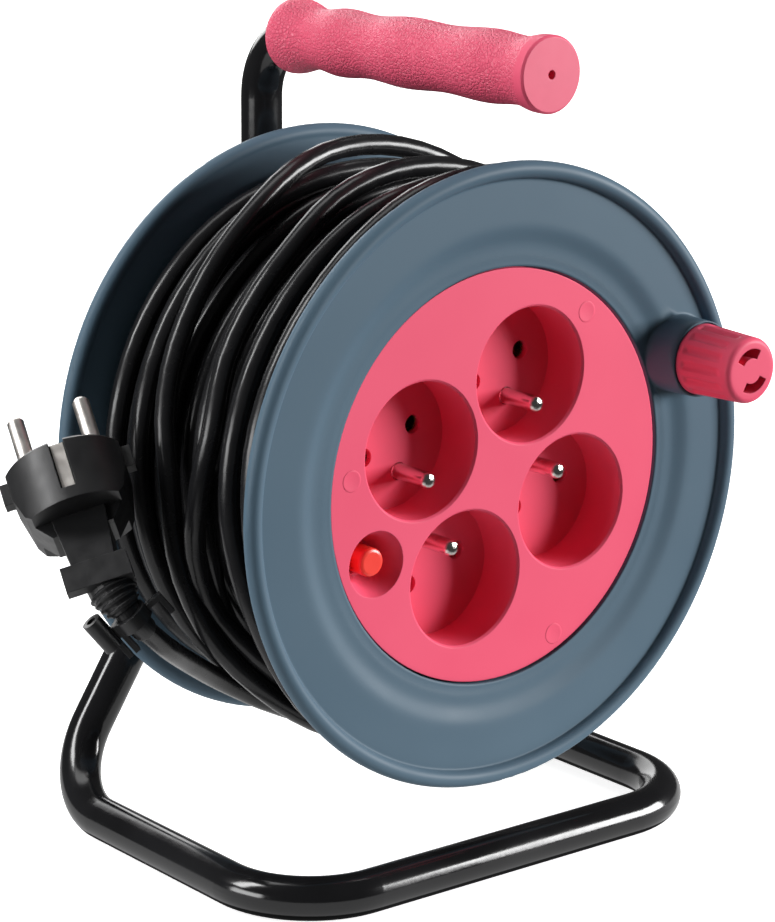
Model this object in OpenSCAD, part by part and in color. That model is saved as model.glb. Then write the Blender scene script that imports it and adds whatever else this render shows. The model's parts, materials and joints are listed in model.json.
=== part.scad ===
// Extension cord reel on a bent tube stand, with four earthed sockets, winding knob and reset button.
// X runs to the right seen from the sockets, Y runs from the sockets to the stand, Z is up from the floor.

/* [Reel] */
// Outer diameter of both flanges
flange_d = 180; // [178:1:220]
// Distance between the middle planes of the two rim beads
reel_w = 90; // [84:1:120]
// Outer diameter of the drum core
core_d = 126; // [125:0.5:127]
// Wall of the drum core
core_wall = 1.8; // [1.6:0.1:2.2]
// Thickness of the flange plates
plate_t = 2.2; // [1.8:0.1:2.4]
// Radius of the round rim bead
bead_r = 2.5; // [2.45:0.05:3]
// Turn of the drum at rest, in degrees
rest_angle = 22.5; // [0:0.5:45]

/* [Sockets] */
// Diameter of the socket panel
panel_d = 119.2; // [117:0.1:120]
// Thickness of the panel plate
panel_t = 2.5; // [2:0.1:2.6]
// Distance of the socket centres from the reel axis
socket_pitch_r = 30.2; // [29.5:0.1:30.4]
// Diameter of a socket recess
socket_d = 39.2; // [38:0.1:39.4]
// Depth of a socket recess
socket_depth = 15; // [14.5:0.5:16]
// Distance between the two contact holes of a socket
contact_gauge = 19; // [18:0.1:20]
// Diameter of a contact hole
contact_hole_d = 5.4; // [5:0.1:6]
// Diameter of an earth pin
earth_pin_d = 4.8; // [4.6:0.1:5]
// Distance of an earth pin from its socket's centre
earth_offset = 10; // [9.5:0.1:10.5]

/* [Reset button] */
// Distance of the button from the reel axis
button_pos_r = 47.4; // [47:0.1:47.6]
// Diameter of the button
button_d = 8.2; // [7.5:0.1:8.6]
// Mouth of the funnel round the button
funnel_d = 19; // [17:0.5:19.5]
// Stroke of the button
button_stroke = 2.5; // [1.5:0.1:3]

/* [Winding knob] */
// Distance of the knob from the reel axis
knob_pos_r = 72; // [71.5:0.1:72.5]
// Diameter of the knob at its base
knob_d = 20.8; // [18:0.1:21]
// Length of the knob
knob_len = 20.8; // [16:0.1:24]
// Number of flutes round the knob
knob_flutes = 14; // [10:1:16]
// Height of the boss under the knob
boss_h = 10.2; // [9:0.1:16]

/* [Stand] */
// Outer diameter of the tube
tube_d = 12.5; // [11:0.1:13]
// Wall of the tube
tube_wall = 1.2; // [1:0.1:2]
// Distance between the runners, centre to centre
base_w = 155.2; // [146:0.2:170]
// Height of the flanges above the floor
floor_gap = 27; // [20:0.5:40]
// Height of the grip's axis above the flanges
grip_gap = 25.5; // [24:0.5:40]
// Bend radius under the grip
top_bend_r = 20; // [19:0.5:24]
// Bend radius of the legs
leg_bend_r = 25; // [20:0.5:30]
// Bend radius of the front corners
front_bend_r = 28; // [22:0.5:35]

/* [Grip] */
// Diameter of the grip at its bulges
bulge_d = 20.3; // [19:0.1:22]
// Diameter of the grip at its necks
neck_d = 17.8; // [17:0.1:18.5]
// Diameter of the collar at the rear end
collar_d = 22.4; // [22:0.1:25]
// Diameter of the disc at the front end
disc_d = 21.4; // [20.5:0.1:24]

/* [Hub] */
// Diameter of the stub axle
axle_d = 12; // [10:0.1:13]
// Outer diameter of the hub bush
bush_d = 18; // [17:0.1:20]
// Diameter of the hub plate
hub_plate_d = 56; // [50:1:64]

/* [Cord] */
// Diameter of the cord
cord_d = 6.2; // [5.8:0.1:7]
// Diameter of the plug
plug_d = 35; // [34:0.1:36]
// Length of the plug's round front
plug_front_l = 18.5; // [17:0.5:19]
// Diameter of the plug pins
plug_pin_d = 4.8; // [4.7:0.05:4.85]
// Free length of the plug pins
plug_pin_l = 19; // [18:0.5:19.5]

/* [Hidden] */
$fn = 72;
eps = 0.01;

// Fits
seat_gap = 0.02;
run_gap = 0.08;
end_play = 0.25;

// Flange profile, depths counted from the front rim's middle plane
flange_r = flange_d / 2;
bead_c = flange_r - bead_r;
dish_out_r = flange_r - 19;
dish_in_r = flange_r - 23;
dish_drop = 1.5;
cone_shift = 0.6;
ring_back = dish_drop + plate_t;
core_r = core_d / 2;
core_in_r = core_r - core_wall;
spigot_r = core_in_r - 0.1;
panel_gap = 0.6;
open_r = panel_d / 2 + panel_gap;
lip_r = 52.5;
lip_t = 2.5;

// Socket panel
panel_y = 2.3;
ledge_y = panel_y + panel_t;
lip_back = ledge_y + lip_t;
well_r = socket_d / 2;
well_wall = 2;
well_floor_t = 2;
floor_y = panel_y + socket_depth;
well_back = floor_y + well_floor_t;
well_chamfer = 0.6;
socket_xy = socket_pitch_r * cos(45);
skirt_r = lip_r - 0.3;
skirt_t = 2;
skirt_l = 5;
hook_depth = 0.9;
hook_gap = 0.2;
hook_arc = 20;
post_r = 4;
post_places = [[0, 42], [0, -42], [44, 0]];

// Reset button and cut-out
funnel_depth = 9;
funnel_foot_r = 5.2;
funnel_wall = 1.5;
guide_l = 3;
guide_r = button_d / 2 + run_gap;
button_tip_y = panel_y + 1.7;
breaker_y = panel_y + funnel_depth + guide_l;
breaker_front_t = 2;
breaker_back = 42;
breaker_w = 14;
breaker_h = 20;
shoulder_y = 22;
shoulder_h = 16;
pocket_r = 5.6;
pocket_back = 28;
button_foot_r = 5.3;
button_foot_t = 1.6;
foot_y = breaker_y + breaker_front_t + 0.05;
arm_gap = 0.1;
arm_t = 1.5;
arm_w = 7;

// Contacts behind the sockets
sleeve_r = 3.3;
sleeve_front = well_back + 0.5;
earth_bar_y = 25;
neutral_bar_y = 32;
carrier_y = 37;
carrier_t = 3;
carrier_r = 49;
bar_t = 1;
bar_w = 5;
live_bar_y = carrier_y - bar_t;
neutral_z = socket_xy + 7.5;
live_w = 4;
live_z = socket_xy - 5.8;
earth_z = socket_xy - earth_offset;
earth_root_r = earth_pin_d / 2 + 0.2;
earth_collar_r = 4;
stop_x = 12;
stop_r = 2;
lead_r = 1.2;
lead_lay = 1.3;
lead_hole_r = 1.7;
neutral_lead_x = -18;
earth_lead_x = 5;
live_lead_x = -22;

// Screws of the flanges, the carrier and the clamp
screw_r = 1.5;
screw_head_r = 3;
screw_head_h = 1.7;
screw_l = 12;
boss_pos_r = 57;
boss_r = 4.5;
boss_angles = [22.5, 112.5, 202.5, 292.5];

// Knob
boss_base_r = 11.6;
boss_top_r = 11.2;
boss_sink = 2;
knob_well_r = knob_d / 2 + 0.35;
knob_well_depth = 0.7;
knob_base_y = -(boss_h - knob_well_depth) - 0.2;
knob_end_y = knob_base_y - knob_len;
knob_end_r = knob_d / 2 - 0.75;
knob_round = 1.75;
knob_wall = 5.4;
post_knob_r = 4;
post_tip_y = knob_end_y + knob_wall + 0.3;
snap_r = post_knob_r + 0.35;
snap_groove_r = snap_r + 0.1;
flute_w = 2.3;
flute_depth = 0.7;
flute_part = 0.72;
slot_r = 4;
slot_w = 1.7;
slot_depth = 4.2;
slot_arc = 116;

// Hub, depths counted from the front rim's middle plane
boss_front = reel_w - 14;
boss_back = reel_w + 12;
hub_boss_r = 13;
hub_boss_base_r = 14.5;
hub_wall_r = 48.5;
hub_wall_out_r = 50.5;
hub_floor = reel_w - 8;
hub_floor_t = 2.5;
rib_count = 8;
rib_t = 2;
axle_r = axle_d / 2;
axle_front = boss_front - end_play;
thrust_t = 2;
plate_front = boss_back + end_play + thrust_t;
hub_plate_t = 4;
plate_back = plate_front + hub_plate_t;
washer_t = 1.6;
washer_r = 11;
thrust_r = 14;
axle_screw_r = 3;
axle_screw_l = 20;
axle_head_r = 5;
axle_head_h = 4.5;
hex_r = 2.9;
hex_depth = 2.5;

// Stand
tube_r = tube_d / 2;
tube_y = plate_back + tube_r;
axis_h = flange_r + floor_gap;
runner_z = tube_r - axis_h;
grip_z = flange_r + grip_gap;
bar_y = -3.5;
lean_sin = 0.5376;
lean_cos = 0.8432;
base_x = base_w / 2;
leg_top_z = runner_z + base_x * lean_cos / lean_sin;
leg_end_gap = 11;
upright_foot_z = round(10 * leg_top_z) / 10 - 4;
y_shift = -(knob_end_y + tube_y + tube_r) / 2;

// Grip, marks along its length as [part of the length from the rear, diameter]
grip_back = reel_w + 10;
grip_front = -17;
grip_l = grip_back - grip_front;
dome_l = 4;
dome_d = 15;
disc_t = 2.6;
disc_edge = 0.6;
neck_rise = 1.1;
grip_tube_front = grip_front + 6;
grip_hole_r = 1.25;
grip_hole_depth = 3;
grip_marks = [
    [dome_l / grip_l, collar_d], [0.14, neck_d],
    [0.235, bulge_d - neck_rise / 3], [0.345, neck_d + neck_rise / 2],
    [0.49, bulge_d], [0.634, neck_d + neck_rise],
    [0.795, bulge_d + neck_rise / 5], [0.905, neck_d + neck_rise],
    [1 - disc_t / grip_l, disc_d]
];
grip_steps = 8;

// Cord
cord_r = cord_d / 2;
lay_gap = 0.4;
coil_in_r = core_r + 0.3;
coil_gap = 0.5;
coil_front = ring_back + coil_gap;
coil_back = reel_w - ring_back - coil_gap;
coil_l = coil_back - coil_front;
groove_r = flange_r - 10;
// Outline of the winding as [part of its length from the front, height above the bottom of the tail's groove]
coil_marks = [
    [0, 0], [0.05, 3], [0.15, 4.4], [0.32, 4], [0.44, 2], [0.5, 0], [0.72, 0], [0.77, -2],
    [0.86, -4.5], [1, -5]
];
gland_y = 60;
gland_r = 6.5;
gland_flange_r = 9;
gland_depth = 4;
clamp_y = carrier_y + carrier_t + cord_r + 0.2;
clamp_z = -33;
clamp_screw_x = 9;
clamp_w = 26;
clamp_h = 8;
clamp_t = 3;
cord_sides = 12;
lead_sides = 8;

// Free end of the cord as [angle round the reel, lift off the winding, part of the reel's width]
tail_marks = [
    [197.5, 24, 0.33], [204.5, 16.4, 0.398], [212.5, 9.4, 0.491], [223, 3.6, 0.578], [231.5, 1, 0.609],
    [240, 0, 0.616], [252, 0, 0.62], [265, 0, 0.63]
];
tail_steps = 4;
tail_ref = [0.63, -0.61, 0.46];

// Plug, its front face turned and placed beside the winding
plug_rx = -44;
plug_ry = 8.5;
plug_rz = -33;
plug_angle = 176.5;
plug_lift = 21.7;
plug_part = 0.71;
plug_r = plug_d / 2;
plug_edge = 0.8;
flank_x = plug_r - 1.3;
// Side outline of the plug's front as [half width, depth]
plug_side = [[flank_x, -1], [flank_x, 8], [plug_r - 3.5, 16.5], [8.6, 23]];
wing_h = 13;
wing_front = 10;
block_end = 34;
block_h = 15.4;
block_side = [[7.7, plug_front_l - 1], [5.9, block_end]];
collar_front = 33.2;
collar_back = 40.8;
collar_w = 18.6;
collar_h = 16;
collar_lip = 4;
lug_w = 5;
lug_h = 4;
lug_at = -2;
lug_front = 1.5;
lug_back = 8;
plug_pin_root = 8;
plug_root_r = 2;
pin_tip_r = 1;
pin_tip_l = 1.2;
strip_w = 3.6;
strip_t = 1;
strip_sink = 0.6;
channel_w = 4.2;
channel_depth = 3.1;
channel_l = 15;
earth_hole_r = 2.6;
earth_hole_l = 14;
boot_off = [2, -0.8, -36];
boot_steps = 48;
boot_sides = 24;
boot_rib = 0.7;
boot_base_r = 6.5;
boot_tip_r = 4.2;
boot_sleeve = 0.5;
boot_pull_in = 6;
boot_pull_out = 8;
ribs_from = 0.25;
ribs_to = 0.58;
clip_at = 0.72;
clip_ref = [-0.61, -0.76, 0.24];
clip_gap = 0.15;
clip_wall = 1.4;
clip_l = 4;
stub_r = 2.8;
stub_l = 10;
stub_hole_r = 1.4;
stub_hole_l = 3;
stub_x = 9;
tongue_w = 1.6;
tongue_h = 3;
tongue_l = 8;
hook_x = 10;
hook_t = 1.5;
hook_h = 2.4;
hook_l = 5;

// Curves
function unit(v) = v / norm(v);
function side_of(d, ref) = unit(cross(d, ref));
function placed(x, y, z, p) = [
    [x[0], y[0], z[0], p[0]], [x[1], y[1], z[1], p[1]], [x[2], y[2], z[2], p[2]], [0, 0, 0, 1]
];
function along(d, p, ref) = placed(side_of(d, ref), cross(d, side_of(d, ref)), d, p);
function ease(a, b, t) = a + (b - a) * (1 - cos(180 * t)) / 2;
function catmull(a, b, c, d, t) =
    0.5 * (2 * b + (c - a) * t + (2 * a - 5 * b + 4 * c - d) * t * t + (3 * b - a - 3 * c + d) * t * t * t);
function point_at(p, i) = p[max(0, min(len(p) - 1, i))];
function smooth(p, n) = [
    for (i = [0:len(p) - 2], k = [0:n - 1])
        catmull(
            i == 0 ? 2 * p[0] - p[1] : p[i - 1], p[i], p[i + 1],
            i == len(p) - 2 ? 2 * p[i + 1] - p[i] : p[i + 2], k / n
        ),
    p[len(p) - 1]
];
function tangent(p, i) = unit(point_at(p, i + 1) - point_at(p, i - 1));
function ring_points(c, d, ref, r, n) = [
    for (k = [0:n - 1])
        c + r * (side_of(d, ref) * cos(360 * k / n) + cross(d, side_of(d, ref)) * sin(360 * k / n))
];

// Swept tube through the points p with the radii r, its ends square to first and last
module swept(p, r, n, ref, first, last) {
    m = len(p);
    points = [
        for (i = [0:m - 1])
            each ring_points(p[i], i == 0 ? first : i == m - 1 ? last : tangent(p, i), ref, r[i], n)
    ];
    walls = [
        for (i = [0:m - 2], k = [0:n - 1])
            each [
                [i * n + k, (i + 1) * n + k, i * n + (k + 1) % n],
                [(i + 1) * n + k, (i + 1) * n + (k + 1) % n, i * n + (k + 1) % n]
            ]
    ];
    front = [[for (k = [0:n - 1]) k]];
    back = [[for (k = [n - 1:-1:0]) (m - 1) * n + k]];
    polyhedron(points = points, faces = concat(walls, front, back), convexity = 6);
}

// Cord of one radius through hand-set points
module cord_through(p, r, n, ref, steps) {
    line = smooth(p, steps);
    swept(line, [for (i = line) r], n, ref, unit(p[1] - p[0]), unit(p[len(p) - 1] - p[len(p) - 2]));
}

// Reel axis at the front rim, axes as in the whole object
module at_axis() {
    translate([0, y_shift, axis_h])
        children();
}

// Reel axis at the front rim, Z towards the viewer, turned with the drum
module on_drum() {
    at_axis()
        rotate([90, 0, 0])
            rotate([0, 0, rest_angle])
                children();
}

// Solid of revolution round the reel axis, points as [radius, depth]
module turned(points) {
    rotate_extrude()
        polygon([for (p = points) [p[0], -p[1]]]);
}

// Round bar along the reel axis from one depth to another
module bar(y0, y1, r) {
    translate([0, 0, -y1])
        cylinder(h = y1 - y0, r = r);
}

// Round bar with its own radius at each depth
module taper(y0, y1, r0, r1) {
    translate([0, 0, -y1])
        cylinder(h = y1 - y0, r1 = r1, r2 = r0);
}

// Box from one depth to another
module block(x, y, w, h, y0, y1) {
    translate([x - w / 2, y - h / 2, -y1])
        cube([w, h, y1 - y0]);
}

module at_sockets() {
    for (sx = [-1, 1], sy = [-1, 1])
        translate([sx * socket_xy, sy * socket_xy, 0])
            children();
}

module at_earths() {
    for (sx = [-1, 1], sy = [-1, 1])
        translate([sx * socket_xy, sy * earth_z, 0])
            children();
}

module at_contacts() {
    at_sockets()
        for (s = [-1, 1])
            translate([s * contact_gauge / 2, 0, 0])
                children();
}

module at_bosses() {
    for (a = boss_angles)
        rotate([0, 0, a])
            translate([boss_pos_r, 0, 0])
                children();
}

module at_posts() {
    for (p = post_places)
        translate([p[0], p[1], 0])
            children();
}

// Countersunk screw, its head flush at depth y, pointing to the back
module screw_back(y) {
    taper(y, y + screw_head_h, screw_head_r, screw_r);
    bar(y + screw_head_h, y + screw_l, screw_r);
}

// Hole for a countersunk screw
module screw_hole_back(y) {
    taper(y, y + screw_head_h, screw_head_r + seat_gap, screw_r + seat_gap);
    bar(y - eps, y + eps, screw_head_r + seat_gap);
    bar(y + screw_head_h - eps, y + screw_l + 1, screw_r + seat_gap);
}

// Countersunk screw and its hole from the back
module screw_front(y) {
    translate([0, 0, -2 * y])
        mirror([0, 0, 1])
            screw_back(y);
}

module screw_hole_front(y) {
    translate([0, 0, -2 * y])
        mirror([0, 0, 1])
            screw_hole_back(y);
}

// Stand
leg_tilt = asin(lean_sin);
leg_len = base_x / lean_sin - leg_end_gap;

module pipe(l, r, wall) {
    difference() {
        cylinder(h = l, r = r);
        if (wall > 0)
            translate([0, 0, -1])
                cylinder(h = l + 2, r = r - wall);
    }
}

module pipe_bend(bend_r, r, wall) {
    rotate_extrude(angle = 90)
        translate([bend_r, 0])
            difference() {
                circle(r = r);
                if (wall > 0)
                    circle(r = r - wall);
            }
}

// Leg, rear bend and runner of one side, s is the side's sign
module base_side(s) {
    translate([s * base_x, tube_y, runner_z])
        rotate([0, -s * leg_tilt, 0]) {
            translate([0, 0, leg_bend_r])
                pipe(leg_len - leg_bend_r, tube_r, tube_wall);
            translate([0, -leg_bend_r, leg_bend_r])
                rotate([0, 90, 0])
                    pipe_bend(leg_bend_r, tube_r, tube_wall);
            translate([0, -leg_bend_r, 0])
                rotate([90, 0, 0])
                    pipe(tube_y - bar_y - front_bend_r - leg_bend_r, tube_r, tube_wall);
        }
    translate([s * (base_x - front_bend_r), bar_y + front_bend_r, runner_z])
        rotate([0, 0, s > 0 ? 270 : 180])
            pipe_bend(front_bend_r, tube_r, tube_wall);
}

module base_frame() {
    color("#18181a")
        at_axis() {
            for (s = [-1, 1])
                base_side(s);
            translate([front_bend_r - base_x, bar_y, runner_z])
                rotate([0, 90, 0])
                    pipe(base_w - 2 * front_bend_r, tube_r, tube_wall);
        }
}

module grip_bar(r, wall) {
    translate([0, tube_y - top_bend_r, grip_z])
        rotate([90, 0, 0])
            pipe(tube_y - top_bend_r - grip_tube_front, r, wall);
    translate([0, tube_y - top_bend_r, grip_z - top_bend_r])
        rotate([0, -90, 0])
            pipe_bend(top_bend_r, r, wall);
}

module handle_tube() {
    color("#18181a")
        at_axis() {
            grip_bar(tube_r, tube_wall);
            translate([0, tube_y, upright_foot_z])
                pipe(grip_z - top_bend_r - upright_foot_z, tube_r, tube_wall);
        }
}

function grip_point(i, k) = [
    ease(grip_marks[i][1], grip_marks[i + 1][1], k / grip_steps) / 2,
    grip_back - grip_l * (grip_marks[i][0] + (grip_marks[i + 1][0] - grip_marks[i][0]) * k / grip_steps)
];
grip_outline = concat(
    [[0, grip_back]],
    [for (a = [90:-15:15]) [(dome_d + (collar_d - dome_d) * cos(a)) / 2, grip_back - dome_l * (1 - sin(a))]],
    [for (i = [0:len(grip_marks) - 2], k = [0:grip_steps - 1]) grip_point(i, k)],
    [
        [disc_d / 2, grip_front + disc_t], [disc_d / 2, grip_front + disc_edge],
        [disc_d / 2 - disc_edge, grip_front], [0, grip_front]
    ]
);

module handle_grip() {
    color("#f25f7d")
        at_axis()
            difference() {
                translate([0, 0, grip_z])
                    rotate([90, 0, 0])
                        turned(grip_outline);
                grip_bar(tube_r + seat_gap, 0);
                translate([0, 0, grip_z])
                    rotate([90, 0, 0])
                        bar(grip_front - 1, grip_front + grip_hole_depth, grip_hole_r);
            }
}

// Hub
module hub_plate() {
    color("#18181a")
        on_drum()
            bar(plate_front, plate_back, hub_plate_d / 2);
}

module stub_axle() {
    color("#b8bcc0")
        on_drum()
            difference() {
                bar(axle_front, plate_front, axle_r);
                bar(axle_front - 1, axle_front + axle_screw_l, axle_screw_r + seat_gap);
            }
}

module thrust_washer() {
    color("#e8e6df")
        on_drum()
            difference() {
                bar(plate_front - thrust_t, plate_front, thrust_r);
                bar(plate_front - thrust_t - 1, plate_front + 1, axle_r + run_gap);
            }
}

module retaining_washer() {
    color("#b8bcc0")
        on_drum()
            difference() {
                bar(axle_front - washer_t, axle_front, washer_r);
                bar(axle_front - washer_t - 1, axle_front + 1, axle_screw_r + run_gap);
            }
}

module axle_screw() {
    color("#8d9196")
        on_drum()
            difference() {
                union() {
                    bar(axle_front - washer_t - axle_head_h, axle_front - washer_t, axle_head_r);
                    bar(axle_front - washer_t - eps, axle_front + axle_screw_l - 3, axle_screw_r);
                }
                translate([0, 0, -(axle_front - washer_t - axle_head_h + hex_depth)])
                    cylinder(h = hex_depth + 1, r = hex_r, $fn = 6);
            }
}

module hub_bush() {
    color("#e8e6df")
        on_drum()
            difference() {
                bar(boss_front, boss_back, bush_d / 2);
                bar(boss_front - 1, boss_back + 1, axle_r + run_gap);
            }
}

// Drum
module rim_bead(y) {
    translate([0, 0, -y])
        rotate_extrude()
            translate([bead_c, 0])
                circle(r = bead_r);
}

module knob_post() {
    turned([
        [0, -boss_h + knob_well_depth + 1], [post_knob_r, -boss_h + knob_well_depth + 1],
        [post_knob_r, post_tip_y + 2.6], [snap_r, post_tip_y + 2.2], [snap_r, post_tip_y + 1.4],
        [post_knob_r - 0.4, post_tip_y], [0, post_tip_y]
    ]);
}

module front_flange() {
    color("#60768a")
        on_drum()
            difference() {
                union() {
                    turned([
                        [lip_r, ledge_y], [open_r, ledge_y], [open_r, dish_drop], [dish_in_r, dish_drop],
                        [dish_out_r, 0], [bead_c, 0], [bead_c, plate_t], [dish_out_r + cone_shift, plate_t],
                        [dish_in_r + cone_shift, ring_back], [spigot_r, ring_back], [spigot_r, lip_back],
                        [lip_r, lip_back]
                    ]);
                    rim_bead(0);
                    translate([knob_pos_r, 0, 0])
                        difference() {
                            taper(-boss_h, boss_sink, boss_top_r, boss_base_r);
                            bar(-boss_h - 1, -boss_h + knob_well_depth, knob_well_r);
                        }
                    translate([knob_pos_r, 0, 0])
                        knob_post();
                }
                translate([-button_pos_r, 0, 0])
                    bar(ledge_y - 1, lip_back + 1, funnel_d / 2 + funnel_wall + 0.3);
                at_bosses()
                    screw_hole_back(ledge_y);
            }
}

module rear_flange() {
    color("#60768a")
        on_drum()
            difference() {
                union() {
                    turned([
                        [bush_d / 2 + seat_gap, boss_back], [hub_boss_r, boss_back],
                        [hub_boss_base_r, hub_floor], [hub_wall_r, hub_floor],
                        [hub_wall_out_r, reel_w - dish_drop], [dish_in_r, reel_w - dish_drop],
                        [dish_out_r, reel_w], [bead_c, reel_w], [bead_c, reel_w - plate_t],
                        [dish_out_r + cone_shift, reel_w - plate_t],
                        [dish_in_r + cone_shift, reel_w - ring_back],
                        [spigot_r, reel_w - ring_back], [spigot_r, reel_w - lip_back],
                        [hub_wall_out_r + 1.5, reel_w - lip_back], [hub_wall_out_r, hub_floor - hub_floor_t],
                        [hub_boss_base_r, hub_floor - hub_floor_t], [hub_boss_r, boss_front],
                        [bush_d / 2 + seat_gap, boss_front]
                    ]);
                    rim_bead(reel_w);
                    for (k = [0:rib_count - 1])
                        rotate([0, 0, (k + 0.5) * 360 / rib_count])
                            block(
                                (hub_boss_r + hub_wall_r) / 2, 0, hub_wall_r - hub_boss_r, rib_t,
                                hub_floor - 1, reel_w - dish_drop - 1
                            );
                }
                at_bosses()
                    screw_hole_front(reel_w - dish_drop);
            }
}

module drum_core() {
    color("#4b5c6b")
        on_drum()
            difference() {
                union() {
                    difference() {
                        bar(ring_back, reel_w - ring_back, core_r);
                        bar(ring_back - 1, reel_w - ring_back + 1, core_in_r);
                    }
                    intersection() {
                        at_bosses()
                            bar(lip_back, reel_w - lip_back, boss_r);
                        bar(lip_back - 1, reel_w, core_r - core_wall / 2);
                    }
                }
                at_bosses() {
                    bar(lip_back - 1, ledge_y + screw_l + 1, screw_r + seat_gap);
                    bar(reel_w - dish_drop - screw_l - 1, reel_w - lip_back + 1, screw_r + seat_gap);
                }
                translate([0, 0, -gland_y])
                    rotate([90, 0, 0])
                        cylinder(h = core_r + 1, r = gland_r + seat_gap);
            }
}

module front_screws() {
    color("#b8bcc0")
        on_drum()
            at_bosses()
                screw_back(ledge_y);
}

module rear_screws() {
    color("#b8bcc0")
        on_drum()
            at_bosses()
                screw_front(reel_w - dish_drop);
}

// Sockets
module well_outside() {
    bar(panel_y + 1, well_back, well_r + well_wall);
}

module well_inside() {
    bar(panel_y - 1, floor_y, well_r);
    taper(panel_y, panel_y + well_chamfer, well_r + well_chamfer, well_r);
    bar(panel_y - 1, panel_y + eps, well_r + well_chamfer);
}

module funnel_outside() {
    taper(panel_y + 1, panel_y + funnel_depth, funnel_d / 2 + funnel_wall, funnel_foot_r + funnel_wall);
    bar(panel_y + funnel_depth - eps, breaker_y, funnel_foot_r + funnel_wall);
}

module funnel_inside() {
    taper(panel_y, panel_y + funnel_depth, funnel_d / 2, funnel_foot_r);
    bar(panel_y - 1, panel_y + eps, funnel_d / 2);
    bar(panel_y + funnel_depth - eps, breaker_y + 1, guide_r);
}

module snap_arm(s) {
    y = breaker_h / 2 + arm_gap;
    block(-button_pos_r, s * (y + arm_t / 2), arm_w, arm_t, ledge_y - 1, shoulder_y + 2);
    block(
        -button_pos_r, s * (shoulder_h / 2 + arm_gap + (y + arm_t - shoulder_h / 2 - arm_gap) / 2), arm_w,
        y + arm_t - shoulder_h / 2 - arm_gap, shoulder_y, shoulder_y + 2
    );
}

module socket_panel() {
    color("#f25f7d")
        on_drum()
            difference() {
                union() {
                    bar(panel_y, ledge_y, panel_d / 2);
                    difference() {
                        bar(ledge_y - 1, ledge_y + skirt_l, skirt_r);
                        bar(ledge_y - 2, ledge_y + skirt_l + 1, skirt_r - skirt_t);
                    }
                    for (a = [0, 90, 270])
                        rotate([0, 0, a - hook_arc / 2])
                            rotate_extrude(angle = hook_arc)
                                polygon([
                                    [skirt_r - 1, -lip_back - hook_gap],
                                    [skirt_r + hook_depth, -lip_back - hook_gap],
                                    [skirt_r, -ledge_y - skirt_l], [skirt_r - 1, -ledge_y - skirt_l]
                                ]);
                    at_sockets()
                        well_outside();
                    translate([-button_pos_r, 0, 0])
                        funnel_outside();
                    for (s = [-1, 1])
                        snap_arm(s);
                    at_posts()
                        bar(ledge_y - 1, carrier_y, post_r);
                }
                at_sockets()
                    well_inside();
                at_contacts()
                    bar(floor_y - 1, well_back + 1, contact_hole_d / 2);
                at_earths()
                    bar(floor_y - 1, well_back + 1, earth_root_r + seat_gap);
                translate([-button_pos_r, 0, 0])
                    funnel_inside();
                at_posts()
                    bar(carrier_y + carrier_t - screw_l - 1, carrier_y + 1, screw_r + seat_gap);
            }
}

module earth_pin() {
    tip = panel_y + 0.6;
    turned([
        [0, tip], [1, tip], [1.8, tip + 0.35], [earth_pin_d / 2, tip + 1.2], [earth_pin_d / 2, floor_y],
        [earth_root_r, floor_y], [earth_root_r, well_back], [earth_collar_r, well_back],
        [earth_collar_r, earth_bar_y], [earth_root_r, earth_bar_y],
        [earth_root_r, earth_bar_y + bar_t + 0.4], [0, earth_bar_y + bar_t + 0.4]
    ]);
}

module earth_pins() {
    color("#cfd2d4")
        on_drum()
            at_earths()
                earth_pin();
}

// Contact sleeves from the socket floor to a bar's front face
module sleeves(y, sy, sx) {
    for (p = [[-1, sx], [1, sx]])
        translate([p[0] * socket_xy + p[1] * contact_gauge / 2, sy * socket_xy, 0])
            bar(sleeve_front, y + eps, sleeve_r);
}

module sleeve_bores() {
    at_contacts()
        bar(sleeve_front - 1, carrier_y + 1, contact_hole_d / 2);
}

module live_bar() {
    reach = socket_xy + contact_gauge / 2;
    inner = socket_xy - contact_gauge / 2;
    span = inner + reach + bar_w;
    color("#c8a24a")
        on_drum()
            difference() {
                union() {
                    for (s = [-1, 1]) {
                        block(s * (inner - reach) / 2, s * live_z, span, live_w, live_bar_y, carrier_y);
                        for (x = [-reach, inner])
                            block(
                                s * x, s * (live_z + socket_xy) / 2, bar_w, socket_xy - live_z,
                                live_bar_y, carrier_y
                            );
                    }
                    block(0, 0, bar_w, 2 * live_z, live_bar_y, carrier_y);
                    sleeves(carrier_y - eps, 1, -1);
                    sleeves(carrier_y - eps, -1, 1);
                }
                sleeve_bores();
            }
}

module neutral_bar() {
    reach = socket_xy + contact_gauge / 2;
    inner = socket_xy - contact_gauge / 2;
    span = inner + reach + bar_w;
    color("#c8a24a")
        on_drum()
            difference() {
                union() {
                    for (s = [-1, 1]) {
                        block(
                            s * (reach - inner) / 2, s * neutral_z, span, bar_w,
                            neutral_bar_y, neutral_bar_y + bar_t
                        );
                        for (x = [-inner, reach])
                            block(
                                s * x, s * (neutral_z + socket_xy) / 2, bar_w, neutral_z - socket_xy,
                                neutral_bar_y, neutral_bar_y + bar_t
                            );
                    }
                    block(0, 0, bar_w, 2 * neutral_z, neutral_bar_y, neutral_bar_y + bar_t);
                    sleeves(neutral_bar_y + bar_t - eps, 1, 1);
                    sleeves(neutral_bar_y + bar_t - eps, -1, -1);
                }
                sleeve_bores();
            }
}

module earth_bar() {
    color("#c8a24a")
        on_drum()
            difference() {
                union() {
                    for (s = [-1, 1])
                        block(0, s * earth_z, 2 * socket_xy + 8, 8, earth_bar_y, earth_bar_y + bar_t);
                    block(0, 0, bar_w, 2 * earth_z, earth_bar_y, earth_bar_y + bar_t);
                }
                at_earths()
                    bar(earth_bar_y - 1, earth_bar_y + bar_t + 1, earth_root_r + seat_gap);
            }
}

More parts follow.
